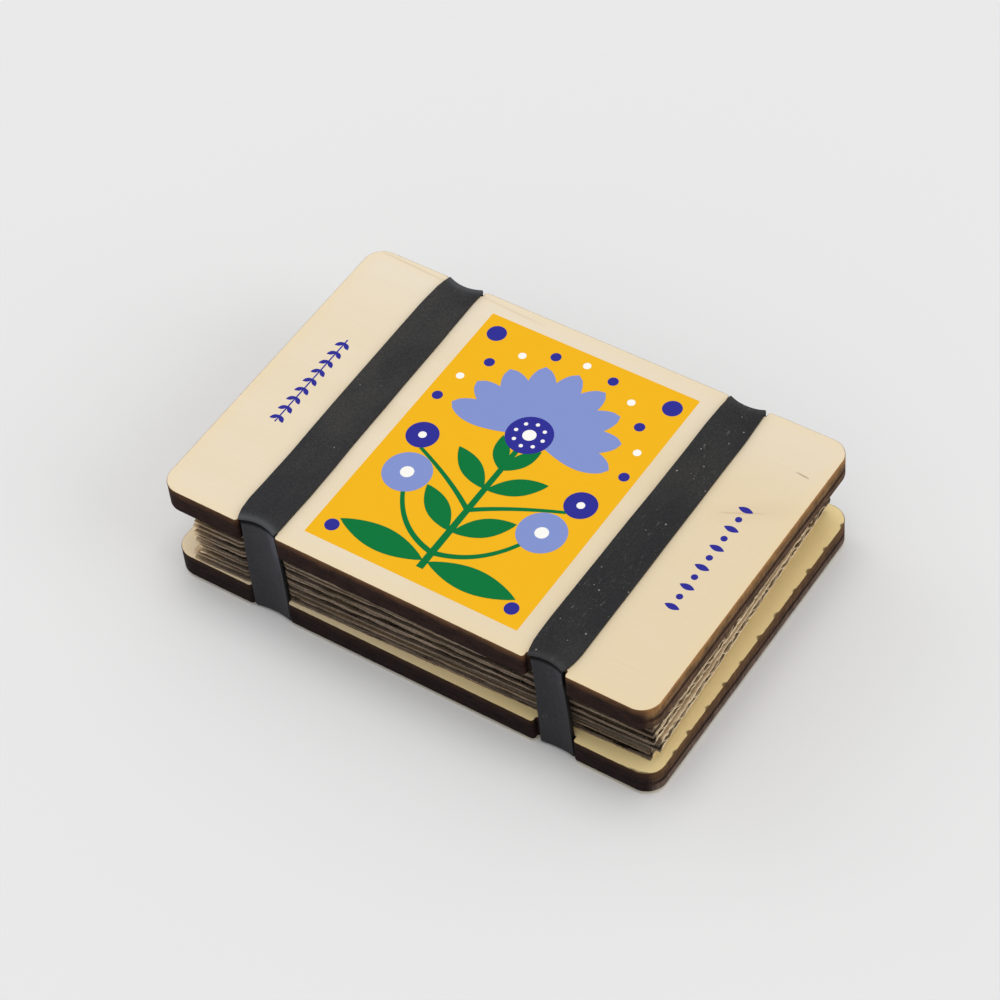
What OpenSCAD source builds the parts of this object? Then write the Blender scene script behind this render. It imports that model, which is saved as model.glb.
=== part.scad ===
// A pocket press for flowers. Two plywood plates hold a stack of corrugated cards and blotting
// papers, and two wide rubber bands squeeze the stack together.
// Lengths are in millimetres. X runs along the long side, Y across the plates, Z up.
// The press lies on the undersides of its bands, at height zero.

/* [Plates] */
// length of each plate
plate_length = 120; // [105:1:200]
// width of each plate
plate_width = 80; // [60:1:140]
// thickness of each plate
plate_thickness = 6; // [3:0.1:9]
// radius of the plates' corners in plan
corner_radius = 4.5; // [1:0.1:10]

/* [Notches] */
// distance of each notch from the middle of the long edge
notch_offset = 35; // [20:0.5:45]
// distance between the two side walls of a notch
notch_width = 9.8; // [8:0.1:14]
// depth of a notch at its middle
notch_depth = 2.5; // [2:0.1:4]
// radius of the hollow floor of a notch
notch_radius = 11; // [9:0.1:16]
// radius that rounds off both lips of a notch
lip_radius = 0.8; // [0.2:0.1:1.2]

/* [Cards] */
// how far the plates reach past the cards at each end
card_end_margin = 5; // [3:0.1:12]
// how far the cards stay inside the floors of the notches
card_side_margin = 1.5; // [1.4:0.1:6]
// thickness of a card's facing paper
facing_thickness = 0.3; // [0.2:0.05:0.6]
// height of the waved layer between the two facings
flute_height = 2; // [1.2:0.1:4]
// thickness of the waved paper
flute_paper = 0.25; // [0.15:0.05:0.5]
// length of one full wave
flute_pitch = 6.2; // [3:0.1:9]

/* [Papers] */
// how much smaller a blotting paper is than a card, on each side
paper_margin = 0.5; // [0.3:0.1:3]
// thickness of each blotting paper
paper_thickness = 0.25; // [0.15:0.05:0.6]

/* [Bands] */
// width of each rubber band where it lies flat
band_width = 10.4; // [8:0.1:14]
// thickness of the rubber
band_thickness = 0.9; // [0.6:0.1:2]
// gap between a band and the floor of its notch
band_clearance = 0.3; // [0.1:0.05:0.6]
// gap between a band and each side wall of its notch
band_side_gap = 0.2; // [0.1:0.05:0.6]

/* [Hidden] */
$fn = 96;
cards = 5;
// chosen by hand: where each card lies off the middle, bottom card first
card_x_shares = [-0.002, 0.0145, 0.0055, 0.003, 0.0135];
card_y_shares = [-0.004, 0, -0.004, -0.008, -0.014];
card_turns = [1.4, 1.9, 1.6, 1.3, 0.8];
// chosen by hand: where the waves of each card begin, as shares of one wave
wave_start_shares = [0.15, 0.6, 0.35, 0.85, 0.5];
// chosen by hand: where each paper lies off the middle, lowest paper first
paper_x_shares = [0.004, 0.009, 0.002, 0.011, -0.003, 0.006, 0.001, 0.008];
paper_y_shares = [-0.003, 0.006, 0.004, -0.008, 0.002, -0.005, 0.007, -0.01];
paper_turns = [0.6, 1.3, -0.4, 1.1, 0.3, 1.5, 0.2, 0.9];
// length over which a band narrows towards its notch, as a share of its width
taper_share = 0.5;

card_length = plate_length - 2 * card_end_margin;
card_width = plate_width - 2 * notch_depth - 2 * card_side_margin;
paper_length = card_length - 2 * paper_margin;
paper_width = card_width - 2 * paper_margin;
wave_steps = 12;
crest_angle = 360 * (wave_steps / 4 - 1 / 2) / wave_steps;
wave_reach = (flute_height - flute_paper) / 2 / sin(crest_angle);
card_thickness = flute_height + 2 * facing_thickness;
layer_height = card_thickness + 2 * paper_thickness;
stack_height = cards * layer_height - 2 * paper_thickness;
bottom_plate_z = band_thickness;
stack_z = bottom_plate_z + plate_thickness;
top_plate_z = stack_z + stack_height;
press_height = top_plate_z + plate_thickness + band_thickness;
notch_centre_y = plate_width / 2 + notch_radius - notch_depth;
notch_floor_y = plate_width / 2 - notch_depth;
band_inner_radius = notch_radius - band_clearance;
band_outer_radius = band_inner_radius - band_thickness;
band_reach = plate_width;
fold_width = notch_width - 2 * band_side_gap;
taper_length = taper_share * band_width;

wood_colour = [0.86, 0.79, 0.65];
rubber_colour = [0.09, 0.08, 0.1];
card_colour = [0.62, 0.55, 0.44];
flute_colour = [0.55, 0.48, 0.38];
paper_colour = [0.87, 0.85, 0.8];

// outline of a plate before its notches are cut
module plate_blank() {
    square([plate_length - 2 * corner_radius, plate_width], center = true);
    square([plate_length, plate_width - 2 * corner_radius], center = true);
    for (side = [-1, 1], end = [-1, 1])
        translate([end * (plate_length / 2 - corner_radius), side * (plate_width / 2 - corner_radius)])
            circle(corner_radius);
}

// one notch with its rounded lips, cut into the front edge at the middle
module notch_cut() {
    intersection() {
        translate([0, -notch_centre_y])
            circle(notch_radius);
        translate([-notch_width / 2, -notch_centre_y])
            square([notch_width, notch_radius]);
    }
    for (end = [-1, 1])
        translate([end * notch_width / 2, -plate_width / 2])
            difference() {
                square(2 * lip_radius, center = true);
                translate([end * lip_radius, lip_radius])
                    circle(lip_radius);
            }
}

module plate(z) {
    translate([0, 0, z])
        linear_extrude(plate_thickness)
            difference() {
                plate_blank();
                for (turn = [0, 180], end = [-1, 1])
                    rotate(turn)
                        translate([end * notch_offset, 0])
                            notch_cut();
            }
}

module laid(length, width, x, y, turn, z) {
    translate([x, y, z])
        rotate([0, 0, turn])
            translate([-length / 2, -width / 2, 0])
                children();
}

// height of one card's underside
function card_z(i) = stack_z + i * layer_height;

// puts a child in the place of one card
module card_place(i, lift) {
    laid(card_length, card_width, card_x_shares[i] * card_length, card_y_shares[i] * card_width,
        card_turns[i], card_z(i) + lift)
        children();
}

module facing(i, lift) {
    card_place(i, lift)
        cube([card_length, card_width, facing_thickness]);
}

// the waves run across the card, so their ends show at its short sides
module fluting(i) {
    waves = ceil(card_width / flute_pitch) + 2;
    steps = [0 : waves * wave_steps];
    start = (wave_start_shares[i] - 1) * flute_pitch;
    upper = [for (s = steps) [
        start + (s + 1 / 2) * flute_pitch / wave_steps,
        (flute_height + flute_paper) / 2 + wave_reach * sin(360 * (s + 1 / 2) / wave_steps)
    ]];
    lower = [for (s = steps) [
        start + (s + 1 / 2) * flute_pitch / wave_steps,
        (flute_height - flute_paper) / 2 + wave_reach * sin(360 * (s + 1 / 2) / wave_steps)
    ]];
    backwards = [for (s = steps) lower[waves * wave_steps - s]];
    card_place(i, facing_thickness)
        rotate([90, 0, 90])
            linear_extrude(card_length)
                intersection() {
                    polygon(concat(upper, backwards));
                    square([card_width, flute_height]);
                }
}

// papers come in pairs, one pair on each card but the uppermost
module paper(i) {
    card = floor(i / 2);
    lift = card_thickness + (i % 2) * paper_thickness;
    laid(paper_length, paper_width, paper_x_shares[i] * paper_length, paper_y_shares[i] * paper_width,
        paper_turns[i], card_z(card) + lift)
        cube([paper_length, paper_width, paper_thickness]);
}

// a rectangle with rounded corners on its left side
module round_left(width, height, radius) {
    translate([radius, 0])
        square([width - radius, height]);
    translate([0, radius])
        square([width, height - 2 * radius]);
    for (y = [radius, height - radius])
        translate([radius, y])
            circle(radius);
}

// one fold of a band, swept about the middle of its notch
module band_side() {
    translate([0, -notch_centre_y, 0])
        rotate_extrude()
            difference() {
                translate([band_outer_radius, 0])
                    round_left(band_reach, press_height, band_clearance + band_thickness);
                translate([band_inner_radius, band_thickness])
                    round_left(band_reach, press_height - 2 * band_thickness, band_clearance);
            }
}

// half the plan of a band: wide on the plates, narrower in its notch
module band_plan() {
    polygon([
        [-band_width / 2, 0],
        [-band_width / 2, -notch_floor_y + taper_length],
        [-fold_width / 2, -notch_floor_y],
        [-fold_width / 2, -notch_centre_y],
        [fold_width / 2, -notch_centre_y],
        [fold_width / 2, -notch_floor_y],
        [band_width / 2, -notch_floor_y + taper_length],
        [band_width / 2, 0]
    ]);
}

module band(side) {
    translate([side * notch_offset, 0, 0])
        for (turn = [0, 180])
            rotate([0, 0, turn])
                intersection() {
                    band_side();
                    linear_extrude(press_height)
                        band_plan();
                }
}

module bottom_plate() color(wood_colour) plate(bottom_plate_z);
module top_plate() color(wood_colour) plate(top_plate_z);
module band_left() color(rubber_colour) band(-1);
module band_right() color(rubber_colour) band(1);

module card_1_lower_facing() color(card_colour) facing(0, 0);
module card_1_fluting() color(flute_colour) fluting(0);
module card_1_upper_facing() color(card_colour) facing(0, facing_thickness + flute_height);
module card_2_lower_facing() color(card_colour) facing(1, 0);
module card_2_fluting() color(flute_colour) fluting(1);
module card_2_upper_facing() color(card_colour) facing(1, facing_thickness + flute_height);
module card_3_lower_facing() color(card_colour) facing(2, 0);
module card_3_fluting() color(flute_colour) fluting(2);
module card_3_upper_facing() color(card_colour) facing(2, facing_thickness + flute_height);
module card_4_lower_facing() color(card_colour) facing(3, 0);
module card_4_fluting() color(flute_colour) fluting(3);
module card_4_upper_facing() color(card_colour) facing(3, facing_thickness + flute_height);
module card_5_lower_facing() color(card_colour) facing(4, 0);
module card_5_fluting() color(flute_colour) fluting(4);
module card_5_upper_facing() color(card_colour) facing(4, facing_thickness + flute_height);

module paper_1() color(paper_colour) paper(0);
module paper_2() color(paper_colour) paper(1);
module paper_3() color(paper_colour) paper(2);
module paper_4() color(paper_colour) paper(3);
module paper_5() color(paper_colour) paper(4);
module paper_6() color(paper_colour) paper(5);
module paper_7() color(paper_colour) paper(6);
module paper_8() color(paper_colour) paper(7);

bottom_plate();
card_1_lower_facing();
card_1_fluting();
card_1_upper_facing();
paper_1();
paper_2();
card_2_lower_facing();
card_2_fluting();
card_2_upper_facing();
paper_3();
paper_4();
card_3_lower_facing();
card_3_fluting();
card_3_upper_facing();
paper_5();
paper_6();
card_4_lower_facing();
card_4_fluting();
card_4_upper_facing();
paper_7();
paper_8();
card_5_lower_facing();
card_5_fluting();
card_5_upper_facing();
top_plate();
band_left();
band_right();
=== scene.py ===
from math import acos, asin, copysign, cos, dist, hypot, pi, radians, sin, sqrt
import bpy
from mathutils import Matrix, Vector, noise


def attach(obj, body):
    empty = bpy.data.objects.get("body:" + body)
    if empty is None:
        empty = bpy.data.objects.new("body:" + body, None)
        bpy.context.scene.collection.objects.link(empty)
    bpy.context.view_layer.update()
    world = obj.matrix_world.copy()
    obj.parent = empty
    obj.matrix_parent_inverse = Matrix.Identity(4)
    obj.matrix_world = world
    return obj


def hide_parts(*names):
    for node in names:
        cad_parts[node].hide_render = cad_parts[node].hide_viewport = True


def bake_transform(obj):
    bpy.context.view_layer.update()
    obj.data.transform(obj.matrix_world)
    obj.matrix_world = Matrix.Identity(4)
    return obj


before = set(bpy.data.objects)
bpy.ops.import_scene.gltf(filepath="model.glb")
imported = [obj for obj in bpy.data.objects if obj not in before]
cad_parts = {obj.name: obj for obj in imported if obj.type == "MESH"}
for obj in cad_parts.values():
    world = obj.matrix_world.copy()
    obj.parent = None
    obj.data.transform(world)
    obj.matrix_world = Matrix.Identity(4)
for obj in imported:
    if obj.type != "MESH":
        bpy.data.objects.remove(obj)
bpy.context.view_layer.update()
mm = 0.001
print("frame loaded")


def linear(red, green, blue):
    # 0 to 255 screen colour to scene colour
    def one(c):
        c = c / 255
        return c / 12.92 if c <= 0.04045 else ((c + 0.055) / 1.055) ** 2.4
    return (one(red), one(green), one(blue), 1.0)


def fog(x, y, z):
    return noise.noise(Vector((x, y, z)))


# small helpers for wiring nodes

class Wires:
    def __init__(self, tree):
        self.tree = tree

    def add(self, kind, **settings):
        node = self.tree.nodes.new(kind)
        for key, value in settings.items():
            setattr(node, key, value)
        return node

    def put(self, socket, value):
        # three numbers are a screen colour
        if isinstance(value, bpy.types.NodeSocket):
            self.tree.links.new(value, socket)
        elif isinstance(value, (tuple, list)) and len(value) == 3:
            socket.default_value = linear(*value)
        elif value is not None:
            socket.default_value = value

    def fill(self, node, *values):
        # values in the order of the node's inputs
        for socket, value in zip(node.inputs, values):
            self.put(socket, value)
        return node.outputs[0]

    def math(self, operation, a, b=None, clamp=False):
        return self.fill(self.add("ShaderNodeMath", operation=operation, use_clamp=clamp), a, b)

    def times(self, a, b):
        return self.math("MULTIPLY", a, b)

    def plus(self, a, b, clamp=False):
        return self.math("ADD", a, b, clamp)

    def minus(self, a, b, clamp=False):
        return self.math("SUBTRACT", a, b, clamp)

    def larger(self, a, b):
        return self.math("MAXIMUM", a, b)

    def absolute(self, a):
        return self.math("ABSOLUTE", a)

    def distance(self, a, b):
        return self.math("SQRT", self.plus(self.times(a, a), self.times(b, b)))

    def sway(self, cloud, reach):
        # noise swung about zero
        return self.times(self.minus(cloud, 0.5), reach)

    def ramp(self, value, low, high, lowOut=0.0, highOut=1.0):
        node = self.add("ShaderNodeMapRange", interpolation_type="SMOOTHSTEP")
        return self.fill(node, value, low, high, lowOut, highOut)

    def fade(self, value, low, high):
        return self.ramp(value, low, high, 1.0, 0.0)

    def choose(self, switch, off, on):
        return self.ramp(switch, 0.0, 1.0, off, on)

    def mix(self, factor, a, b, blend="MIX"):
        node = self.add("ShaderNodeMix", data_type="RGBA", blend_type=blend)
        self.put(node.inputs[0], factor)
        self.put(node.inputs[6], a)
        self.put(node.inputs[7], b)
        return node.outputs[2]

    def place(self, scale=(1, 1, 1), offset=(0, 0, 0), source=None):
        # object coordinates in millimetres, stretched per axis
        node = self.add("ShaderNodeMapping")
        self.put(node.inputs["Vector"], source or self.objectPoint())
        node.inputs["Scale"].default_value = [s / mm for s in scale]
        node.inputs["Location"].default_value = offset
        return node.outputs["Vector"]

    def objectPoint(self):
        return self.add("ShaderNodeTexCoord").outputs["Object"]

    def moved(self, point, amount):
        return self.fill(self.add("ShaderNodeVectorMath", operation="ADD"), point, amount)

    def noise(self, vector, detail=2.0, rough=0.5, distort=0.0):
        node = self.add("ShaderNodeTexNoise")
        inputs = {"Vector": vector, "Scale": 1.0, "Detail": detail, "Roughness": rough, "Distortion": distort}
        for name, value in inputs.items():
            self.put(node.inputs[name], value)
        return node.outputs["Fac"]

    def split(self, vector):
        node = self.add("ShaderNodeSeparateXYZ")
        self.put(node.inputs[0], vector)
        return node.outputs

    def own(self):
        # what the mesh itself says of each of its points
        return self.split(self.add("ShaderNodeAttribute", attribute_name="own").outputs["Vector"])


def newGroup(name, outputs, **inputs):
    tree = bpy.data.node_groups.new(name, "ShaderNodeTree")
    for label, value in inputs.items():
        socket = tree.interface.new_socket(label, in_out="INPUT", socket_type="NodeSocketFloat")
        socket.default_value = value
    for label in outputs:
        tree.interface.new_socket(label, in_out="OUTPUT", socket_type="NodeSocketFloat")
    w = Wires(tree)
    return tree, w, w.add("NodeGroupInput").outputs, w.add("NodeGroupOutput").inputs


def useGroup(w, tree, **values):
    node = w.add("ShaderNodeGroup", node_tree=tree)
    for key, value in values.items():
        w.put(node.inputs[key], value)
    return node.outputs


def newObject(name, data):
    thing = bpy.data.objects.new(name, data)
    bpy.context.collection.objects.link(thing)
    return thing


def newMaterial(name, specular):
    material = bpy.data.materials.new(name)
    material.use_nodes = True
    shader = material.node_tree.nodes["Principled BSDF"]
    shader.inputs["Specular IOR Level"].default_value = specular
    return material, Wires(material.node_tree), shader


def dress(w, shader, colour, roughness, height, relief, strength):
    # colour, roughness and fine relief, relief in metres
    w.put(shader.inputs["Base Color"], colour)
    w.put(shader.inputs["Roughness"], roughness)
    bump = w.add("ShaderNodeBump")
    w.put(bump.inputs["Height"], height)
    bump.inputs["Distance"].default_value = relief
    bump.inputs["Strength"].default_value = strength
    w.put(shader.inputs["Normal"], bump.outputs["Normal"])


# sizes shared by the pieces, all in millimetres

press = dict(length=120, width=80, corner=4.5, notchWidth=9.5, notchDepth=2.5, notchRadius=11, lip=0.8)
# middles of the notches, left and right, along the front and the back
topNotches = dict(front=(-35.05, 35.4), back=(-35.6, 35.3))
lowNotches = dict(front=(-34.7, 36.0), back=(-35.2, 35.3))
levels = dict(bottomBoard=0.9, stack=6.9, topBoard=21.9, topFace=27.9, height=28.8)
notchY = press["width"] / 2 + press["notchRadius"] - press["notchDepth"]

# camera

view = dict(
    place=(273.78, -351.86, 534.36),
    right=(0.83385, 0.54726, -0.07216),
    up=(-0.37737, 0.66057, 0.64903),
    forward=(-0.40285, 0.51396, -0.75734),
    lens=117.486, sensor=36, clip=(0.01, 50),
)
camera = newObject("camera", bpy.data.cameras.new("camera"))
camera.data.lens = view["lens"]
camera.data.sensor_width = view["sensor"]
camera.data.clip_start, camera.data.clip_end = view["clip"]
turn = Matrix((view["right"], view["up"], [-v for v in view["forward"]])).transposed()
camera.matrix_world = Matrix.Translation(Vector(view["place"]) * mm) @ turn.to_4x4()
bpy.context.scene.camera = camera

# floor, light and background

# suns are (energy, spread in degrees, where the light comes from)
light = dict(
    dome=0.6, floor=(232, 232, 232), floorReach=6, floorRoughness=0.9,
    suns=[(0.9, 40, (0.0, 0.1, 1.0)), (0.56, 35, (1.0, 0.12, 0.58)), (0.28, 35, (-1.0, 0.12, 0.58))],
)

scene = bpy.context.scene
scene.view_settings.view_transform = "Standard"
world = bpy.data.worlds.new("softRoom")
scene.world = world
world.use_nodes = True
w = Wires(world.node_tree)
background = world.node_tree.nodes["Background"]
seen = w.add("ShaderNodeLightPath")
inView = w.larger(seen.outputs["Is Camera Ray"], seen.outputs["Is Transmission Ray"])
w.put(background.inputs["Color"], w.mix(inView, (light["dome"],) * 3 + (1,), light["floor"]))
background.inputs["Strength"].default_value = 1.0

# one broad light from above and a weaker one from each end
for i, (energy, spread, source) in enumerate(light["suns"]):
    sun = newObject("sun%d" % i, bpy.data.lights.new("sun%d" % i, "SUN"))
    sun.data.energy = energy
    sun.data.angle = radians(spread)
    sun.rotation_euler = Vector(source).to_track_quat("Z", "Y").to_euler()

reach = light["floorReach"]
floorMesh = bpy.data.meshes.new("floor")
floorCorners = [(-reach, -reach, 0), (reach, -reach, 0), (reach, reach, 0), (-reach, reach, 0)]
floorMesh.from_pydata(floorCorners, [], [(0, 1, 2, 3)])
floor = newObject("floor", floorMesh)
floorPaint, w, shader = newMaterial("floorPaint", 0.0)
w.put(shader.inputs["Base Color"], light["floor"])
shader.inputs["Roughness"].default_value = light["floorRoughness"]
floorMesh.materials.append(floorPaint)
print("camera, floor and light set")

# shared surface effects

# veneer: soft bands, fine fibres and short pores along X
veneerGrain, w, given, result = newGroup("veneerGrain", ("Tone", "Fibre", "Pores"), Shift=0.0)
point = w.moved(w.objectPoint(), given["Shift"])
w.put(result["Tone"], w.noise(w.place((0.018, 0.085, 0.05), source=point), 3, 0.5, 0.6))
w.put(result["Fibre"], w.noise(w.place((0.07, 3.2, 1.0), source=point), 3, 0.6))
w.put(result["Pores"], w.ramp(w.noise(w.place((0.55, 5.5, 1.0), source=point), 2, 0.5), 0.66, 0.76))

# distance in millimetres from the plate's outline, inwards
boardEdge, w, given, result = newGroup(
    "boardEdge", ("Distance",), FrontLeft=-35.0, FrontRight=35.0, BackLeft=-35.0, BackRight=35.0,
)
side, y = w.split(w.place())[:2]
isBack, isRight = w.math("GREATER_THAN", y, 0.0), w.math("GREATER_THAN", side, 0.0)
leftMiddle = w.choose(isBack, given["FrontLeft"], given["BackLeft"])
rightMiddle = w.choose(isBack, given["FrontRight"], given["BackRight"])
y = w.absolute(y)
outX = w.larger(w.minus(w.absolute(side), press["length"] / 2 - press["corner"]), 0.0)
outY = w.larger(w.minus(y, press["width"] / 2 - press["corner"]), 0.0)
toSide = w.minus(press["corner"], w.distance(outX, outY))
fromMiddle = w.minus(side, w.choose(isRight, leftMiddle, rightMiddle))
toFloor = w.minus(w.distance(fromMiddle, w.minus(y, notchY)), press["notchRadius"])
toWall = w.minus(w.absolute(fromMiddle), press["notchWidth"] / 2)
w.put(result["Distance"], w.math("MINIMUM", toSide, w.larger(toFloor, toWall)))

# paper: cloudy tone and small fibres
paperFibre, w, given, result = newGroup("paperFibre", ("Cloud", "Fibre"), Shift=0.0)
w.put(result["Cloud"], w.noise(w.moved(w.place((0.12, 0.12, 0.12)), given["Shift"]), 4, 0.55))
w.put(result["Fibre"], w.noise(w.place((3.2, 1.4, 3.0)), 3, 0.65, 0.4))

# dust: sparse light specks
dustSpecks, w, given, result = newGroup("dustSpecks", ("Mask",), Amount=0.1, Spacing=1.0)
cells = w.add("ShaderNodeTexVoronoi", feature="F1")
w.put(cells.inputs["Vector"], w.place())
w.put(cells.inputs["Scale"], given["Spacing"])
chance, size = w.split(cells.outputs["Color"])[:2]
chosen = w.math("LESS_THAN", chance, given["Amount"])
uneven = w.sway(w.noise(w.place((6, 6, 6)), 2), 0.16)
speck = w.math("LESS_THAN", w.plus(cells.outputs["Distance"], uneven), w.times(w.plus(size, 0.25), 0.13))
w.put(result["Mask"], w.times(chosen, speck))
print("shared effects built")

# veneer of the plates' faces

veneer = dict(
    pale=(235, 220, 193), deep=(228, 209, 174), pore=(196, 168, 124),
    rim=(150, 122, 86), aura=(238, 212, 158), burn=(78, 52, 34),
    burnPitch=6.85, burnStrength=0.85, roughness=0.52, specular=0.2, relief=0.00003,
)


def segmentMark(w, x, y, a, b, width):
    # soft line from a to b on the face, thinner at its ends
    dx, dy = b[0] - a[0], b[1] - a[1]
    px, py = w.minus(x, a[0]), w.minus(y, a[1])
    along = w.math("DIVIDE", w.plus(w.times(px, dx), w.times(py, dy)), dx * dx + dy * dy, clamp=True)
    far = w.distance(w.minus(px, w.times(along, dx)), w.minus(py, w.times(along, dy)))
    taper = w.times(w.times(along, w.minus(1.0, along)), 4.0)
    return w.times(w.fade(far, 0.0, width), w.math("POWER", taper, 0.6))


def veneerMaterial(name, shift, marks, burnReach, tints, notches):
    material, w, shader = newMaterial(name, veneer["specular"])
    grain = useGroup(w, veneerGrain, Shift=shift)
    x, y = w.split(w.place())[:2]
    warm = w.ramp(w.plus(x, w.times(grain["Tone"], 30.0)), -20.0, 75.0)
    colour = w.mix(w.times(w.ramp(grain["Tone"], 0.3, 0.7), 0.3), veneer["pale"], veneer["deep"])
    colour = w.mix(w.times(warm, 0.85), colour, veneer["deep"])
    colour = w.mix(w.times(w.ramp(grain["Fibre"], 0.35, 0.75), 0.07), colour, veneer["pore"])
    colour = w.mix(w.times(grain["Pores"], 0.12), colour, veneer["pore"])
    # tone changes, and painted light on the lower plate
    for axis, start, stop, low, high, shade in tints:
        colour = w.mix(w.ramp(x if axis == "x" else y, start, stop, low, high), colour, shade)
    for a, b, width, strength, shade in marks:
        line = segmentMark(w, x, w.plus(y, w.sway(grain["Fibre"], 0.5)), a, b, width)
        colour = w.mix(w.times(line, strength), colour, shade)
    middles = zip(("FrontLeft", "FrontRight", "BackLeft", "BackRight"), notches["front"] + notches["back"])
    edge = useGroup(w, boardEdge, **dict(middles))["Distance"]
    rough = w.noise(w.place((0.9, 0.9, 0.9), (shift * 900, 0, 0)), 3)
    ragged = w.plus(edge, w.sway(rough, 0.5))
    colour = w.mix(w.times(w.fade(ragged, -0.05, 0.3), 0.55), colour, veneer["rim"])
    colour = w.mix(w.ramp(w.plus(edge, w.sway(rough, 4.0)), 0.2, 4.0, 0.2, 0.0), colour, veneer["aura"])
    if burnReach:
        # burn marks every few millimetres along the right end
        drift = w.times(w.noise(w.place((0.02, 0.11, 0.02)), 1), 0.5)
        step = w.plus(w.math("DIVIDE", y, veneer["burnPitch"]), drift)
        beat = w.absolute(w.minus(w.math("FRACT", w.plus(step, 40.0)), 0.5))
        size = w.ramp(w.noise(w.place((0.05, 0.16, 0.05), (9, 0, 0)), 2), 0.35, 0.65, 0.7, 1.05)
        reach = w.times(w.times(w.ramp(beat, 0.0, 0.17, burnReach, 0.1), size), w.ramp(x, 50.0, 57.0))
        dark = w.times(w.fade(w.minus(ragged, reach), -0.25, 0.2), veneer["burnStrength"])
        colour = w.mix(dark, colour, veneer["burn"])
    gloss = w.ramp(grain["Fibre"], 0.2, 0.8, veneer["roughness"] - 0.05, veneer["roughness"] + 0.1)
    height = w.plus(w.times(grain["Fibre"], 0.6), w.times(grain["Pores"], -0.6))
    dress(w, shader, colour, gloss, height, veneer["relief"], 0.5)
    return material


# small cracks and stains: (from, to, width, strength, colour)
topMarks = [
    ((53.0, 28.4), (56.4, 28.0), 0.32, 0.7, (128, 96, 62)),
    ((44.6, 11.0), (53.5, 15.6), 0.4, 0.3, (170, 136, 92)),
    ((43.0, 9.0), (59.0, 20.5), 4.0, 0.16, (206, 178, 134)),
    ((-60.0, 39.3), (-38.0, 38.2), 0.5, 0.3, (176, 148, 108)),
    ((-33.0, 38.6), (-14.0, 37.6), 0.6, 0.2, (176, 148, 108)),
]
# slow changes of tone, on the lower plate painted light: (axis, from, to, strength there and there, colour)
topTints = [("y", 16, 40, 0.0, 0.45, (236, 225, 208))]
# painted light on the lower plate: warm bounce light towards the right end, brighter light at the left end
lowPaintedLight = [("x", -48, 50, 0.05, 0.85, (255, 231, 166)), ("x", -60, -36, 0.7, 0.0, (252, 236, 208))]
topVeneer = veneerMaterial("topVeneer", 0.0, topMarks, 0.0, topTints, topNotches)
lowVeneer = veneerMaterial("lowVeneer", 0.31, [], 0.75, lowPaintedLight, lowNotches)

# burnt sides of the plates; line is the glue line's height and half width

topBurn = dict(
    name="topBurn", underside=levels["topBoard"], line=(2.35, 0.85),
    endUpper=(124, 93, 61), endLower=(98, 73, 55), endLine=(50, 31, 20),
    endFoot=(90, 68, 52), longUpper=(62, 38, 26), longLower=(44, 27, 23),
    lip=(176, 126, 72), longLip=(116, 82, 52),
)
lowBurn = dict(
    name="lowBurn", underside=levels["bottomBoard"], line=(2.55, 0.8),
    endUpper=(92, 66, 46), endLower=(98, 78, 67), endLine=(36, 20, 13),
    endFoot=(112, 97, 88), longUpper=(40, 24, 18), longLower=(34, 22, 21),
    lip=(106, 76, 46), longLip=(60, 40, 27),
)
burnt = dict(ends=(57.6, 59.8), lips=((3.7, 5.7, 0.4), (5.2, 6.0, 0.5)), specular=0.08, relief=0.00008)


def burntMaterial(look):
    # plies with a dark glue line between, streaked upright, lighter at the plate's ends
    material, w, shader = newMaterial(look["name"], burnt["specular"])
    x, y, z = w.split(w.place())
    streak = w.noise(w.place((2.4, 2.4, 0.12)), 3, 0.6)
    broad = w.noise(w.place((0.3, 0.3, 0.5)), 4, 0.65)
    wander = w.sway(w.noise(w.place((0.2, 0.2, 0.02)), 2), 0.6)
    level = w.plus(w.minus(z, look["underside"]), wander)
    ends = w.ramp(w.absolute(x), *burnt["ends"])
    middle, wide = look["line"]
    core = wide * 0.2
    endTone = w.mix(w.ramp(level, middle, middle + 1.0), look["endLower"], look["endUpper"])
    endTone = w.mix(w.fade(level, 0.3, middle - wide), endTone, look["endFoot"])
    longTone = w.mix(w.ramp(level, 3.6, 5.6), look["longLower"], look["longUpper"])
    line = w.times(w.ramp(level, middle - wide, middle - core), w.fade(level, middle + core, middle + wide))
    colour = w.mix(ends, longTone, endTone)
    colour = w.mix(w.times(line, w.choose(ends, 0.12, 0.9)), colour, look["endLine"])
    shade = w.ramp(streak, 0.3, 0.75, 0.62, 1.24)
    blotch = w.ramp(broad, 0.3, 0.7, 0.64, 1.3)
    colour = w.mix(1.0, colour, w.times(shade, blotch), "MULTIPLY")
    # browner towards the upper edge, less so at the left
    ragged = w.plus(level, w.sway(broad, 1.6))
    lip = w.mix(ends, look["longLip"], look["lip"])
    glow = w.ramp(x, -45.0, -20.0, 0.45, 1.0)
    for low, high, strength in burnt["lips"]:
        colour = w.mix(w.times(w.ramp(ragged, low, high, 0.0, strength), glow), colour, lip)
    height = w.plus(streak, w.times(line, -0.5))
    dress(w, shader, colour, w.ramp(streak, 0.2, 0.8, 0.6, 0.85), height, burnt["relief"], 0.7)
    return material


topSide = burntMaterial(topBurn)
lowSide = burntMaterial(lowBurn)

# cards and papers; a ring is (how far drawn in, share of the ripple)

stack = dict(
    cardSize=(111.2, 74), facing=0.3, flute=2.0, wavePaper=0.25, pitch=6.2, paper=0.25, paperMargin=0.5,
    fray=(0.5, 0.14), paperFray=(0.25, 0.1), flare=0.5, ripple=0.12,
    rings=((0.0, 1.0), (1.2, 0.85), (7.0, 0.0)), pointStep=0.7, bandReach=6.0, bandRadius=10.95,
)
cardLength, cardWidth = stack["cardSize"]
cardHeight = stack["flute"] + 2 * stack["facing"]
layerHeight = cardHeight + 2 * stack["paper"]
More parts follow.
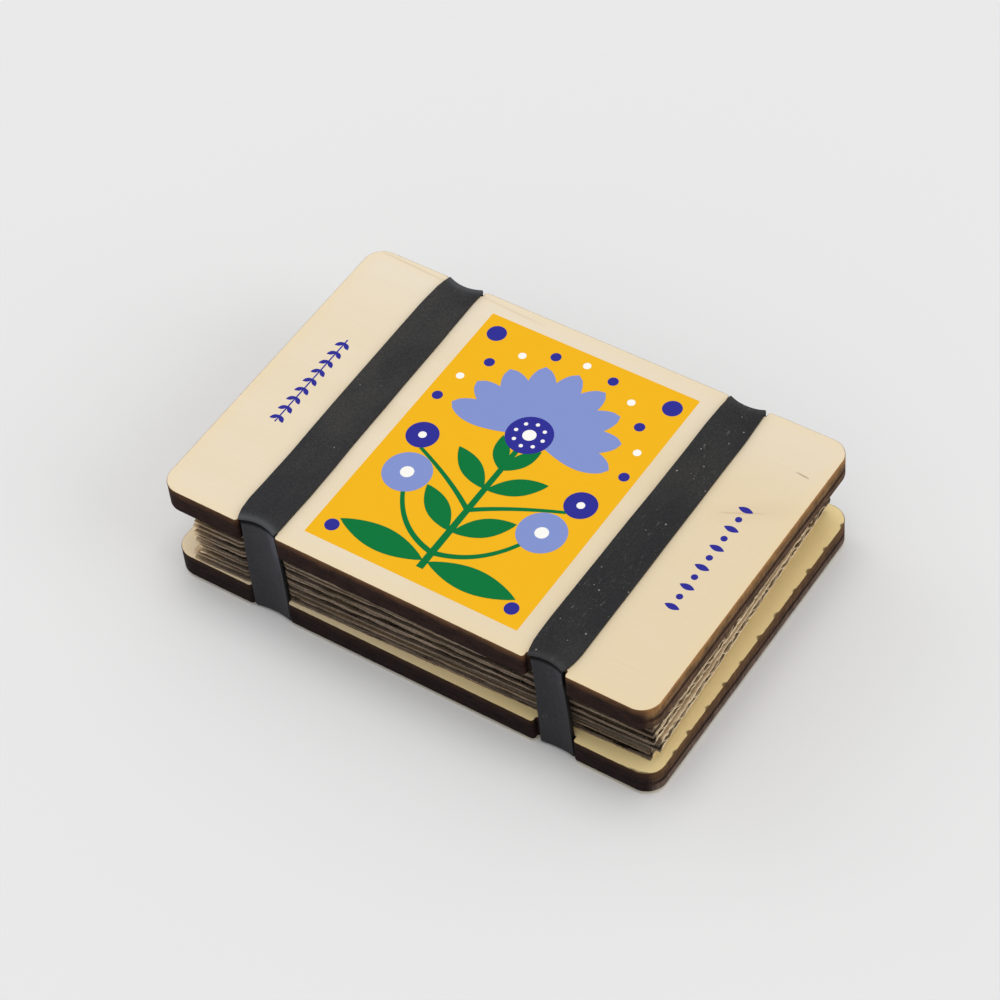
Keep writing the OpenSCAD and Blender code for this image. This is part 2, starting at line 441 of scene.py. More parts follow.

# places on a card or paper: near its short ends, near its long sides, and the light lines along those; also
# painted shade under the top plate at the right end
cardPlaces, w, given, result = newGroup("cardPlaces", "End Soot Faded Deep Side Inner Line".split())
ownX, ownY = w.own()[:2]
isRight = w.math("GREATER_THAN", ownX, 0.0)
toSide = w.minus(cardWidth / 2, w.absolute(ownY))
toEnd = w.minus(cardLength / 2, w.absolute(ownX))
toEnd = w.plus(toEnd, w.sway(w.noise(w.place((0.9, 0.9, 2.0), (3, 0, 0)), 3), 0.8))
corner = w.times(w.math("MINIMUM", toSide, 1.5), w.choose(isRight, 0.2, 0.8))
frayedFrom, frayedTo = w.choose(isRight, 0.3, -0.95), w.choose(isRight, 1.9, -0.45)
w.put(result["End"], w.fade(w.minus(toEnd, corner), frayedFrom, frayedTo))
w.put(result["Faded"], w.ramp(toEnd, 1.5, 7.0, w.choose(isRight, 0.75, 0.0), 0.0))
# near the right end, where painted shade goes into the flute slots
deep = w.times(w.ramp(toEnd, 0.2, 0.6), w.fade(toEnd, 7.0, 11.0))
w.put(result["Deep"], w.times(w.times(deep, isRight), w.ramp(toSide, 1.2, 2.6)))
w.put(result["Side"], w.fade(toSide, 1.0, 2.2))
w.put(result["Inner"], w.fade(toSide, 4.0, 9.0))
x, y, z = w.split(w.place())
# painted shade under the top plate, towards the right end of the stack
shadedEnd = w.times(isRight, w.fade(toEnd, 8.0, 14.0))
w.put(result["Soot"], w.times(w.ramp(z, 14.6, 18.6, 0.0, 0.62), shadedEnd))
# light lines, by height within a card and its papers, with painted shade of the recesses between them
wander = w.sway(w.noise(w.place((0.25, 0.25, 0.6)), 3), 0.35)
layers = w.math("DIVIDE", w.plus(w.minus(z, levels["stack"]), wander), layerHeight)
level = w.times(w.math("FRACT", w.plus(layers, 2.0)), layerHeight)
thinner = w.ramp(x, 38.0, 46.0, 0.0, 0.2)
low = w.fade(w.plus(level, thinner), 0.65, 0.92)
high = w.times(w.ramp(w.minus(level, thinner), 1.72, 2.0), w.ramp(level, 2.55, 2.7, 1.0, 0.55))
rise = w.ramp(level, 2.95, 3.1, 0.0, 0.5)
bright = w.ramp(w.noise(w.place((0.11, 0.11, 0.9), (8, 0, 0)), 3), 0.3, 0.7, 0.62, 1.0)
# single sheets show here and there, with painted shade in the gaps between them
thirds = w.math("FRACT", w.math("DIVIDE", w.plus(level, 0.75), layerHeight / 3))
gaps = w.ramp(w.absolute(w.minus(thirds, 0.5)), 0.32, 0.46)
parted = w.ramp(w.noise(w.place((0.07, 0.07, 0.3), (0, 8, 0)), 2), 0.4, 0.6, 0.1, 0.7)
parted = w.plus(parted, w.ramp(x, 38.0, 46.0, 0.0, 0.15), clamp=True)
bright = w.times(bright, w.minus(1.0, w.times(gaps, parted)))
w.put(result["Line"], w.times(w.plus(w.larger(low, high), rise, clamp=True), bright))

card = dict(
    kraft=(186, 162, 128), kraftDark=(150, 128, 98), paper=(218, 210, 194),
    lineLight=(154, 137, 122), recessShade=(20, 12, 7), fleckAndShade=(72, 56, 44),
    endLight=(230, 207, 172), faded=(158, 136, 110),
    deepSlotShade=(108, 78, 40), paleSlotShade=(126, 98, 66),
    hairLight=(240, 226, 200), hairDark=(60, 44, 30),
    roughness=0.88, specular=0.02, relief=0.00006,
)


def cardMaterial(name, shift, kind, slot="deepSlotShade"):
    # kinds: face, wave, cut, paper, paperCut
    material, w, shader = newMaterial(name, card["specular"])
    fibre = useGroup(w, paperFibre, Shift=shift)
    at = useGroup(w, cardPlaces)
    hatch = w.noise(w.place((2.6, 2.6, 0.3), (shift, 0, 0)), 2, 0.6)
    lit = w.mix(w.ramp(hatch, 0.35, 0.65, 0.0, 0.4), card["lineLight"], card["fleckAndShade"])
    lines = w.mix(at["Faded"], w.mix(at["Line"], card["recessShade"], lit), card["faded"])
    colour = card["paper" if kind.startswith("paper") else "kraft"]
    if kind == "wave":
        # painted shade in the flutes near the long sides
        colour = w.mix(at["Inner"], colour, card["recessShade"])
        # painted shade in the flute slots at the right end
        colour = w.mix(at["Deep"], colour, card[slot])
    # painted shade on the outer faces of facings and papers near the long sides, between the sheets
    if kind in ("face", "paper"):
        colour = w.mix(w.times(at["Side"], 0.8), colour, card["fleckAndShade"])
    else:
        colour = w.mix(at["Side"], colour, lines)
    frayed = w.mix(w.ramp(hatch, 0.35, 0.6, 0.25, 0.0), card["endLight"], card["kraftDark"])
    colour = w.mix(w.times(at["End"], 0.3 if kind == "wave" else 1.0), colour, frayed)
    # painted shade under the top plate
    colour = w.mix(at["Soot"], colour, card["fleckAndShade"])
    colour = w.mix(w.ramp(fibre["Cloud"], 0.35, 0.7, 0.0, 0.18), colour, card["kraftDark"])
    paleHairs = w.times(w.ramp(fibre["Fibre"], 0.5, 0.72), 0.2)
    colour = w.mix(paleHairs, colour, w.mix(0.5, colour, card["hairLight"]))
    darkHairs = w.times(w.fade(fibre["Fibre"], 0.28, 0.42), 0.4)
    colour = w.mix(darkHairs, colour, w.mix(0.6, colour, card["hairDark"]))
    dress(w, shader, colour, card["roughness"], fibre["Fibre"], card["relief"], 0.8)
    return material


cardFace = cardMaterial("cardFace", 0.0, "face")
# waves of the two lower cards get deeper painted shade in their slots, the others paler
cardWaveOpen = cardMaterial("cardWaveOpen", 3.0, "wave")
cardWaveShut = cardMaterial("cardWaveShut", 3.0, "wave", "paleSlotShade")
cardCut = cardMaterial("cardCut", 5.0, "cut")
waveOfCard = (cardWaveOpen, cardWaveOpen, cardWaveShut, cardWaveShut, cardWaveShut)
paperFace = cardMaterial("paperFace", 1.0, "paper")
paperCut = cardMaterial("paperCut", 2.0, "paperCut")

rubber = dict(
    body=(36, 36, 38), wearAndSheen=(48, 47, 46), dust=(168, 163, 152), shade=(6, 5, 7),
    foldHighlight=(92, 94, 97), flankHighlight=(92, 94, 104), run=(0.98, 0.97, 1.12, 1.0),
    roughness=0.5, specular=0.15, relief=0.00003,
)


def rubberMaterial(name, shift, specks, gain, paintedSheen):
    material, w, shader = newMaterial(name, rubber["specular"])
    cloud = w.noise(w.place((0.09, 0.05, 0.09), (shift, 0, 0)), 4, 0.55)
    fine = w.noise(w.place((1.6, 1.6, 1.6), (shift, 0, 0)), 3, 0.6)
    grit = w.ramp(w.noise(w.place((2.6, 1.8, 2.6), (shift, 3, 0)), 3, 0.7), 0.3, 0.7, 0.76, 1.3)
    colour = w.mix(w.ramp(cloud, 0.35, 0.7), rubber["body"], rubber["wearAndSheen"])
    colour = w.mix(1.0, colour, w.times(grit, gain), "MULTIPLY")
    shade, run, flank = w.own()
    # painted highlight along the upper fold and beside the right flank
    for wearAndSheen, tone in ((shade, "foldHighlight"), (flank, "flankHighlight")):
        paler = w.times(w.larger(w.times(wearAndSheen, -1.0), 0.0), paintedSheen)
        colour = w.mix(paler, colour, rubber[tone])
    # the upright runs painted a little cooler, a painted reflection
    colour = w.mix(run, colour, w.mix(1.0, colour, rubber["run"], "MULTIPLY"))
    # painted shade in the crease under the upper fold and on the side faces of the upright runs
    hollow = w.larger(w.larger(shade, 0.0), flank)
    colour = w.mix(w.times(hollow, 0.94), colour, rubber["shade"])
    # smears, powder and specks of dust on what lies flat
    lying = w.minus(1.0, run, clamp=True)
    patches = w.ramp(w.noise(w.place((0.12, 0.12, 0.12), (shift, 5, 0)), 3), 0.42, 0.62, 0.3, 1.0)
    dust = w.times(useGroup(w, dustSpecks, Amount=specks, Spacing=0.75)["Mask"], lying)
    powder = useGroup(w, dustSpecks, Amount=specks * 2.2, Spacing=2.3)["Mask"]
    powder = w.times(powder, w.times(lying, patches))
    smears = w.ramp(w.noise(w.place((1.1, 0.35, 1.1), (shift, 9, 0)), 4, 0.7), 0.6, 0.78)
    smears = w.times(smears, patches)
    for laid, strength in ((smears, specks * 1.1), (powder, 0.35), (dust, 0.6)):
        colour = w.mix(w.times(laid, strength), colour, rubber["dust"])
    gloss = w.ramp(cloud, 0.3, 0.75, rubber["roughness"] - 0.06, rubber["roughness"] + 0.12)
    gloss = w.plus(gloss, w.times(dust, 0.3), clamp=True)
    dress(w, shader, colour, gloss, w.plus(fine, w.times(dust, 1.5)), rubber["relief"], 0.6)
    return material


print("materials built")

# meshes


def meshPiece(name, points, faces, materials, slots=None, smooth=False, own=None):
    data = bpy.data.meshes.new(name)
    data.from_pydata([Vector(p) * mm for p in points], [], faces)
    for material in materials:
        data.materials.append(material)
    if slots:
        data.polygons.foreach_set("material_index", slots)
    data.polygons.foreach_set("use_smooth", [smooth] * len(faces))
    if own:
        values = data.attributes.new("own", "FLOAT_VECTOR", "POINT")
        values.data.foreach_set("vector", [v for p in own for v in p])
    data.validate()
    data.update()
    return newObject(name, data)


def settle(piece, node, body=None):
    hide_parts(node)
    if body:
        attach(piece, body)


def arc(centre, radius, start, stop, steps):
    angles = [start + (stop - start) * i / steps for i in range(steps + 1)]
    return [(centre[0] + radius * cos(a), centre[1] + radius * sin(a)) for a in angles]


# plates; the profile is (height, how far drawn in)
board = dict(
    profile=[(6.0, 0.12), (5.94, 0.04), (5.8, 0.0), (4.6, 0.02), (3.5, 0.0), (3.3, 0.05), (2.6, 0.06),
             (2.4, 0.0), (1.2, 0.02), (0.2, 0.0), (0.06, 0.04), (0.0, 0.12)],
    wobble=0.05, lipSteps=6, notchSteps=18, cornerSteps=12, pointStep=0.8,
)


def boardCorners(inset, notches):
    # outline of a plate, counter-clockwise, drawn in by inset
    half, side, corner, lip = press["length"] / 2, press["width"] / 2, press["corner"], press["lip"]
    wall, floorRadius = press["notchWidth"] / 2 + inset, press["notchRadius"] + inset
    tilt, quarter = acos(wall / floorRadius), pi / 2
    runs = [], []
    for run, middles in zip(runs, (notches["front"], [-m for m in reversed(notches["back"])])):
        for middle in middles:
            before, after = middle - wall - lip + inset, middle + wall + lip - inset
            run += arc((before, -side + lip), lip - inset, -quarter, 0, board["lipSteps"])
            run += arc((middle, -notchY), floorRadius, pi - tilt, tilt, board["notchSteps"])
            run += arc((after, -side + lip), lip - inset, pi, 1.5 * pi, board["lipSteps"])
        run += arc((half - corner, -side + corner), corner - inset, -quarter, 0, board["cornerSteps"])
        run += arc((half - corner, side - corner), corner - inset, 0, quarter, board["cornerSteps"])
    return runs[0] + [(-px, -py) for px, py in runs[1]]


def boardOutline(inset, notches):
    # the same with points along the straight runs, as many for every inset
    corners, full, outline = boardCorners(inset, notches), boardCorners(0.0, notches), []
    for i, p in enumerate(corners):
        q = corners[(i + 1) % len(corners)]
        run = dist(full[i], full[(i + 1) % len(full)])
        plain = max(1, int(round(run / board["pointStep"])))
        dx, dy = q[0] - p[0], q[1] - p[1]
        outline += [(p[0] + dx * k / plain, p[1] + dy * k / plain) for k in range(plain)]
    return outline


def makeBoard(name, underside, face, side, body, node, seed, notches):
    points, faces = [], []
    base = boardOutline(0.0, notches)
    count, rings = len(base), len(board["profile"])
    for up, inset in board["profile"]:
        for (px, py), (bx, by) in zip(boardOutline(inset, notches), base):
            rough = board["wobble"] * max(0.0, fog(bx * 0.9 + seed, by * 0.9, up * 1.4))
            pull = 1 - rough / (press["length"] / 2)
            points.append((px * pull, py * pull, underside + up))
    for r in range(rings - 1):
        for i in range(count):
            j = (i + 1) % count
            faces.append((r * count + i, (r + 1) * count + i, (r + 1) * count + j, r * count + j))
    slots = [1] * len(faces) + [0, 0]
    faces += [tuple(range(count)), tuple(reversed(range((rings - 1) * count, rings * count)))]
    settle(meshPiece(name, points, faces, [face, side], slots), node, body)


makeBoard("topBoard", levels["topBoard"], topVeneer, topSide, "lid", "top_plate", 3.0, topNotches)
makeBoard("bottomBoard", levels["bottomBoard"], lowVeneer, lowSide, "base", "bottom_plate", 11.0, lowNotches)
print("boards built")

# loose cards and papers

# from the lowest one up: (place and turn in degrees, start of the waves, their recess, body)
cards = [
    ((0.1, -1.0, 1.85), 0.15, 0.35, "base"), ((1.7, -0.5, 2.25), 0.6, 0.5, "layer_2"),
    ((1.4, -1.0, 1.75), 0.35, 0.2, "layer_3"), ((1.9, -1.3, 1.45), 0.85, 0.45, "layer_4"),
    ((2.4, -1.5, 0.95), 0.5, 0.6, "lid"),
]
papers = [
    ((0.4, -0.9, 1.5), "base"), ((1.0, -0.3, 1.9), "layer_2"), ((0.8, -0.5, 1.6), "layer_2"),
    ((1.2, -1.3, 1.5), "layer_3"), ((0.6, -0.6, 0.7), "layer_3"), ((1.7, -1.1, 1.6), "layer_4"),
    ((1.2, -0.3, 0.6), "layer_4"), ((1.9, -1.4, 1.1), "lid"),
]


def ripple(x, y, z):
    # gentle up and down of the loose edges, the same for sheets that touch
    calm = min(1.0, (z - levels["stack"]) / 1.5, (levels["topBoard"] - z) / 1.5)
    return stack["ripple"] * max(0.0, calm) * fog(x * 0.06, y * 0.06, z * 0.08)


def turned(x, y, place):
    turn = radians(place[2])
    c, s = cos(turn), sin(turn)
    px, py = place[0] + x * c - y * s, place[1] + x * s + y * c
    # the bands hold the edges back
    for middle in lowNotches["front" if py < 0 else "back"]:
        away = abs(px - middle)
        if away < stack["bandReach"]:
            limit = notchY - sqrt(stack["bandRadius"] ** 2 - away ** 2)
            py = max(-limit, min(limit, py))
    return px, py


def sheetRing(length, width, inset, fray, seed):
    # outline of a sheet, with small bites along its edges
    a, b = length / 2 - inset, width / 2 - inset
    corners = [(-a, -b), (a, -b), (a, b), (-a, b)]
    ring = []
    for i, p in enumerate(corners):
        q = corners[(i + 1) % 4]
        count = int(round((length if i % 2 == 0 else width) / stack["pointStep"]))
        for k in range(count):
            t = k / count
            x, y = p[0] + (q[0] - p[0]) * t, p[1] + (q[1] - p[1]) * t
            if fray:
                bite = abs(fog(x * 0.5 + seed, y * 0.5, seed))
                bite += 0.6 * abs(fog(x * 2.3, y * 2.3 + seed, seed))
                x -= fray[0] * bite * (1 if x > a - 0.01 else -0.4 if x < -a + 0.01 else 0)
                y -= fray[1] * bite * (1 if y > b - 0.01 else -1 if y < -b + 0.01 else 0)
            ring.append((x, y))
    return ring


def makeSheet(name, size, low, high, place, fray, materials, body, node, slot, seed,
              flare=(0, 0), within=(0, 0)):
    # flare bends the rim of the upper and lower side, within is their material
    shortBy = (cardLength - size[0]) / 2, (cardWidth - size[1]) / 2
    rings = [sheetRing(*size, inset, 0 if inset else fray, seed) for inset, share in stack["rings"]]
    count = len(rings[0])
    points, faces, slots, own = [], [], [], []
    for z, bend in ((high, flare[0]), (low, flare[1])):
        for ring, (inset, share) in zip(rings, stack["rings"]):
            for x, y in ring:
                px, py = turned(x, y, place)
                own.append((copysign(abs(x) + shortBy[0], x), copysign(abs(y) + shortBy[1], y), 0))
                rise = ripple(px, py, z) * share
                if not inset:
                    rise += bend * (0.55 + 0.9 * fog(px * 0.25, py * 0.25, seed))
                points.append((px, py, z + rise))
    under = len(rings) * count
    for i in range(count):
        j = (i + 1) % count
        for k in range(len(rings) - 1):
            outer, inner = k * count, (k + 1) * count
            faces.append((outer + i, outer + j, inner + j, inner + i))
            faces.append((under + outer + i, under + inner + i, under + inner + j, under + outer + j))
            slots += within
        faces.append((i, under + i, under + j, j))
        slots.append(1)
    last = under - count
    faces.append(tuple(last + i for i in range(count)))
    faces.append(tuple(under + last + i for i in reversed(range(count))))
    slots += within
    settle(meshPiece(name, points, faces, materials, slots, own=own), node, body)


# stations are shares of the length, from its middle; they are close where the bands press
fluting = dict(
    steps=14, crush=0.3, fray=0.5,
    half=[0.1] + [0.26 + 0.013 * k for k in range(11)] + [0.45, 0.485, 0.494, 0.5],
)
stations = [-v for v in reversed(fluting["half"])] + fluting["half"]


def makeFluting(name, place, bottom, start, recess, body, node, seed, surface):
    # waved paper, crushed a little near its ends and cut short of the card's front and back
    length, width, thick = cardLength, cardWidth - 2 * recess, stack["wavePaper"]
    reach, middle = (stack["flute"] - thick) / 2, bottom + stack["flute"] / 2
    count = int(width / stack["pitch"] * fluting["steps"])
    points, faces, slots, own = [], [], [], []
    for station in stations:
        near = max(0.0, 1 - (0.5 - abs(station)) * length / 2.0)
        for side in (1, -1):
            for i in range(count + 1):
                y = -width / 2 + width * i / count
                phase = 2 * pi * (y / stack["pitch"] + start + 0.5)
                phase += 0.5 * fog(station * 2, y * 0.1, seed + 4)
                crush = fluting["crush"] * max(0.0, fog(station * 3 + seed, y * 0.12, seed))
                frayed = fluting["fray"] * near * abs(fog(y * 0.7, seed, station * 2))
                x = station * length - copysign(frayed, station)
                px, py = turned(x, y, place)
                own.append((x, y, 0))
                z = middle + reach * (1 - crush) * sin(phase) + side * thick / 2
                points.append((px, py, z + 0.9 * ripple(px, py, bottom + 1.0) * min(1.0, near + 0.2)))
    row = count + 1
    for s in range(len(stations) - 1):
        a, b = s * 2 * row, (s + 1) * 2 * row
        for i in range(count):
            faces.append((a + i, b + i, b + i + 1, a + i + 1))
            faces.append((a + row + i, a + row + i + 1, b + row + i + 1, b + row + i))
            slots += [0, 0]
        faces.append((a, a + row, b + row, b))
        faces.append((a + count, b + count, b + row + count, a + row + count))
        slots += [1, 1]
    for s, flip in ((0, False), (len(stations) - 1, True)):
        a = s * 2 * row
        for i in range(count):
            quad = (a + i, a + i + 1, a + row + i + 1, a + row + i)
            faces.append(tuple(reversed(quad)) if flip else quad)
            slots.append(1)
    piece = meshPiece(name, points, faces, [surface, cardCut], slots, own=own)
    settle(piece, node, body)


for i, (place, start, recess, body) in enumerate(cards):
    piece, node = "card%d" % (i + 1), "card_%d_" % (i + 1)
    bottom = levels["stack"] + i * layerHeight
    top, facing, flare = bottom + cardHeight, stack["facing"], stack["flare"]
    common = place, stack["fray"], [cardFace, cardCut, waveOfCard[i]], body
    makeSheet(piece + "Lower", stack["cardSize"], bottom, bottom + facing, *common,
              node + "lower_facing", "card_facing", 2.0 + i, (flare, 0), (2, 0))
    makeFluting(piece + "Waves", place, bottom + facing, start, recess, body,
                node + "fluting", 5.0 * i, waveOfCard[i])
    makeSheet(piece + "Upper", stack["cardSize"], top - facing, top, *common,
              node + "upper_facing", "card_facing", 12.0 + i, (0, -flare), (0, 2))
paperSize = [v - 2 * stack["paperMargin"] for v in stack["cardSize"]]
for i, (place, body) in enumerate(papers):
    bottom = levels["stack"] + (i // 2) * layerHeight + cardHeight + (i % 2) * stack["paper"]
    makeSheet("paper%d" % (i + 1), paperSize, bottom, bottom + stack["paper"], place, stack["paperFray"],
              [paperFace, paperCut], body, "paper_%d" % (i + 1), "blotting_paper", 30.0 + i)
print("cards and papers built")

# rubber bands

bands = dict(
    halfWidth=5.2, thickness=0.9, gap=0.15, fold=0.12, cornerRound=0.22, crease=0.5, bulge=0.16,
    end=39.4, bridge=0.6, uneven=0.07, sink=0.05, flatSteps=32, roundSteps=4,
)
# measured edges as (position, left edge, right edge): along the top from front to back, and up the front
leftBand = dict(
    seed=1.0,
    top=[(-39.4, -39.75, -30.35), (-38.5, -40.1, -30.25), (-37, -40.45, -30.2), (-34, -40.7, -30.2),
         (-28, -40.6, -30.1), (-20, -40.55, -30.2), (-10, -40.7, -30.5), (0, -40.85, -30.62),
         (10, -40.95, -30.8), (20, -41.0, -30.9), (30, -41.05, -31.1), (36, -40.75, -31.2),
         (38, -40.4, -31.1), (39.4, -40.0, -31.0)],
    front=[(0.5, -39.5, -29.9), (3, -39.55, -29.9), (11, -39.55, -29.85), (17, -39.45, -30.0),
           (22, -39.35, -30.2), (26, -39.3, -30.4), (28.4, -39.4, -30.4)],
)
rightBand = dict(
    seed=7.0,
    top=[(-39.4, 31.1, 39.75), (-38.5, 30.85, 40.0), (-37, 30.6, 40.3), (-36, 30.4, 40.45),
         (-34, 30.28, 40.6), (-30, 30.2, 40.55), (-20, 30.25, 40.5), (-10, 30.35, 40.45),
         (0, 30.4, 40.35), (10, 30.55, 40.3), (20, 30.55, 40.2), (30, 30.5, 40.2),
         (36, 30.65, 39.95), (38, 30.8, 39.85), (39.4, 30.9, 39.75)],
    front=[(0.5, 32.2, 40.5), (3, 32.2, 40.45), (11, 32.1, 40.2), (16, 32.1, 39.85),
           (20, 32.0, 39.55), (23.5, 31.8, 39.25), (26, 31.6, 39.25), (28.4, 31.4, 39.4)],
)


def easeStep(t):
    t = min(1.0, max(0.0, t))
    return t * t * (3 - 2 * t)


def edgesAt(rows, place):
    # smooth reading between measured rows
    if place <= rows[0][0]:
        return rows[0][1:]
    for (a, *low), (b, *high) in zip(rows, rows[1:]):
        if place <= b:
            t = (place - a) / (b - a)
            t = t * t * (3 - 2 * t) * 0.5 + t * 0.5
            return [m + (n - m) * t for m, n in zip(low, high)]
    return rows[-1][1:]


def bandSection():
    # rounded strip, as (share across, out) pairs
    half, thick, r = bands["halfWidth"], bands["thickness"] / 2, bands["cornerRound"]
    flat, deep, quarter, steps = half - r, thick - r, pi / 2, bands["flatSteps"]
    section = [(-flat + 2 * flat * k / steps, thick) for k in range(steps + 1)]
    for side, start in ((1, quarter), (-1, -quarter)):
        for y, turn in ((side * deep, start), (-side * deep, start - quarter)):
            section += arc((side * flat, y), r, turn, turn - quarter, bands["roundSteps"])[1:]
        if side > 0:
            section += [(flat - 2 * flat * k / steps, -thick) for k in range(1, steps + 1)]
    return [(across / half, out) for across, out in section[:-1]]


def bandStations():
    # closed loop round the press: (part, progress), closest together near the upper folds
    topFold, lowFold = [k / 9 for k in range(1, 9)], [k / 7 for k in range(1, 7)]
    shares = dict(
        top=[k / 72 for k in range(73)], frontTopFold=topFold,
        front=[(k / 44) ** 1.8 for k in range(45)], frontLowFold=lowFold,
        under=[k / 40 for k in range(41)], backLowFold=lowFold,
        back=[1 - (1 - k / 44) ** 1.8 for k in range(45)], backTopFold=topFold,
    )
    return [(part, t) for part, run in shares.items() for t in run]


def onNotch(x, side, radius, edges):
    # the strip bends round its own middle
    middle = press["notchRadius"] - bands["gap"] - bands["thickness"] / 2
    angle = asin(max(-0.9, min(0.9, (x - sum(edges) / 2) / middle)))
    return angle, side * (notchY - radius * cos(angle))


def bandPoint(setup, part, t, share, out):
    half = bands["thickness"] / 2
    middle = press["notchRadius"] - bands["gap"] - half
    # the upper fold is tight, the lower one rounder
    topFold, lowFold = bands["fold"], bands["fold"] + half
    low = "Low" in part or part == "under"
    fold = lowFold if low else topFold
    topZ, lowZ = levels["height"] - half, half
    side = -1 if part.startswith("front") else 1
    upright = part in ("front", "back")
    topRows, frontRows = setup["top"], setup["front"]

    def bridged(x, side, edges, level=1.0):
        # lower down the strip spans its notch instead of lining it
        reach = onNotch(edges[1], side, middle, edges)[1] - onNotch(x, side, middle, edges)[1]
        return bands["bridge"] * reach * (1 - easeStep((level - 1) / 15))

    def across(edges):
        return edges[0] + (edges[1] - edges[0]) * (share + 1) / 2

    up, end = Vector((0, 0, 1)), bands["end"]
    if part in ("top", "under"):
        rows = topRows if part == "top" else ((-end, *frontRows[0][1:]), (end, *topRows[-1][1:]))
        front, back = rows[0][1:], rows[-1][1:]
        frontY = onNotch(across(front), -1, middle + fold, front)[1]
        backY = onNotch(across(back), 1, middle + fold, back)[1]
        if part == "under":
            frontY += bridged(across(front), -1, front)
            backY += bridged(across(back), 1, back)
        y = frontY + (backY - frontY) * (t if part == "under" else 1 - t)
        # rows are read along the strip, so that its ends stay bent
        reading = -end + 2 * end * (y - frontY) / (backY - frontY)
        z = topZ if part == "top" else lowZ
        return Vector((across(edgesAt(rows, reading)), y, z)), up if part == "top" else -up
    run = topZ - topFold - lowZ - lowFold
    if part == "front":
        level = topZ - topFold - run * t
        edges = edgesAt(frontRows, level)
    elif part == "back":
        level = lowZ + lowFold + run * t
        edges = topRows[-1][1:]
    elif side < 0:
        edges = frontRows[0][1:] if low else topRows[0][1:]
    else:
        edges = topRows[-1][1:]
    x = across(edges)
    angle, y = onNotch(x, side, middle, edges)
    y += bridged(x, side, edges, max(1.0, level) if upright else 1.0 if low else 30.0)
    outward = Vector((-sin(angle), side * cos(angle), 0))
    if upright:
        # a crease just under the upper fold
        depth = topZ - topFold - level
        hollow = easeStep(depth / 0.15) * (1 - easeStep((depth - 0.6) / 0.6)) if out > 0 else 0
        return Vector((x, y, level)) - outward * bands["crease"] * hollow, outward
    toUpright = t if part in ("frontTopFold", "backLowFold") else 1 - t
    a = toUpright * pi / 2
    normal = (-up if low else up) * cos(a) + outward * sin(a)
    centre = Vector((x, y - side * fold * cos(angle), lowZ + fold if low else topZ - fold))
    bulge = 0 if low or out < 0 else bands["bulge"] * sin(toUpright * pi)
    # the inner face of a tight fold stays just beside its axis
    reach = fold + bulge if out > 0 else max(fold + out, 0.08) - out
    return centre + normal * reach, normal


def bandTone(part, share, place):
    # painted shade in the crease (above zero) and painted highlight on the fold (below zero); on the upright
    # run or not; painted shade on the side faces (one) and painted highlight beside the right flank (below
    # zero)
    if part in ("front", "back"):
        under = levels["height"] - bands["thickness"] / 2 - bands["fold"] - place.z
        shade = 1 - easeStep((under - 0.95) / 0.45)
        flank = 1 if abs(share) > 0.985 else -easeStep((share - 0.3) / 0.5) * easeStep((place.z - 12) / 14)
        return shade, 1, flank
    if part == "under" or "Low" in part:
        return 0, 0, 0
    endY = notchY - sqrt(10.4 ** 2 - (4.8 * share) ** 2)
    return -easeStep(1 - (endY - abs(place.y)) / 1.6), 0, 0


def makeBand(name, setup, material, node):
    section, stations = bandSection(), bandStations()
    count, total = len(section), len(stations)
    points, faces, own = [], [], []
    for part, t in stations:
        for share, out in section:
            place, normal = bandPoint(setup, part, t, share, out)
            own.append(bandTone(part, share, place))
            uneven = fog(place.x * 0.22 + setup["seed"], place.y * 0.1, place.z * 0.16)
            swell = 0.0 if part == "under" or out < 0 else bands["uneven"] * uneven
            p = place + normal * (out + swell - bands["sink"])
            p.z = min(levels["height"], max(0.0, p.z))
            points.append(p)
    for n in range(total):
        m = (n + 1) % total
        for i in range(count):
            j = (i + 1) % count
            faces.append((n * count + i, n * count + j, m * count + j, m * count + i))
    piece = meshPiece(name, points, faces, [material], smooth=True, own=own)
    settle(piece, node)
    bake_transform(piece)


makeBand("bandLeft", leftBand, rubberMaterial("rubberLeft", 0.0, 0.06, 1.25, 0.5), "band_left")
makeBand("bandRight", rightBand, rubberMaterial("rubberRight", 40.0, 0.3, 1.0, 0.15), "band_right")
print("bands built")

# print on the upper face; step is how far one level stands above the next

printed = dict(middle=(0.0, 0.2), width=52.0, height=70.4, step=0.004, specular=0.08, relief=0.00002)
ink = dict(
    ground=(243, 182, 24), petal=(131, 147, 206), leaf=(2, 117, 58), berry=(46, 46, 148),
    white=(250, 248, 242),
)


def inkMaterial(name, shade):
    # the fibres and pores of the veneer show through a little
    material, w, shader = newMaterial(name, printed["specular"])
    grain = useGroup(w, veneerGrain, Shift=0.0)
    paler = [min(255, c * 1.08 + 6) for c in shade]
    darker = [c * 0.72 for c in shade]
    colour = w.mix(w.times(w.ramp(grain["Fibre"], 0.3, 0.8), 0.05), shade, paler)
    colour = w.mix(w.times(grain["Pores"], 0.12), colour, darker)
    gloss = w.ramp(grain["Fibre"], 0.2, 0.8, 0.55, 0.68)
    dress(w, shader, colour, gloss, grain["Fibre"], printed["relief"], 0.5)
    return material


inks = {key: inkMaterial("ink" + key.capitalize(), shade) for key, shade in ink.items()}


def mirrored(x, y, angle, half):
    # closed outline from its upper half, turned and set at x, y
    edge = half + [(px, -py) for px, py in reversed(half[1:-1])]
    c, s = cos(radians(angle)), sin(radians(angle))
    return [(x + px * c - py * s, y + px * s + py * c) for px, py in edge]


def lens(x, y, length, width, angle, steps=16):
    # pointed leaf that starts at x, y
    shares = [k / steps for k in range(steps + 1)]
    return mirrored(x, y, angle, [(length * t, width / 2 * sin(pi * t) ** 0.85) for t in shares])


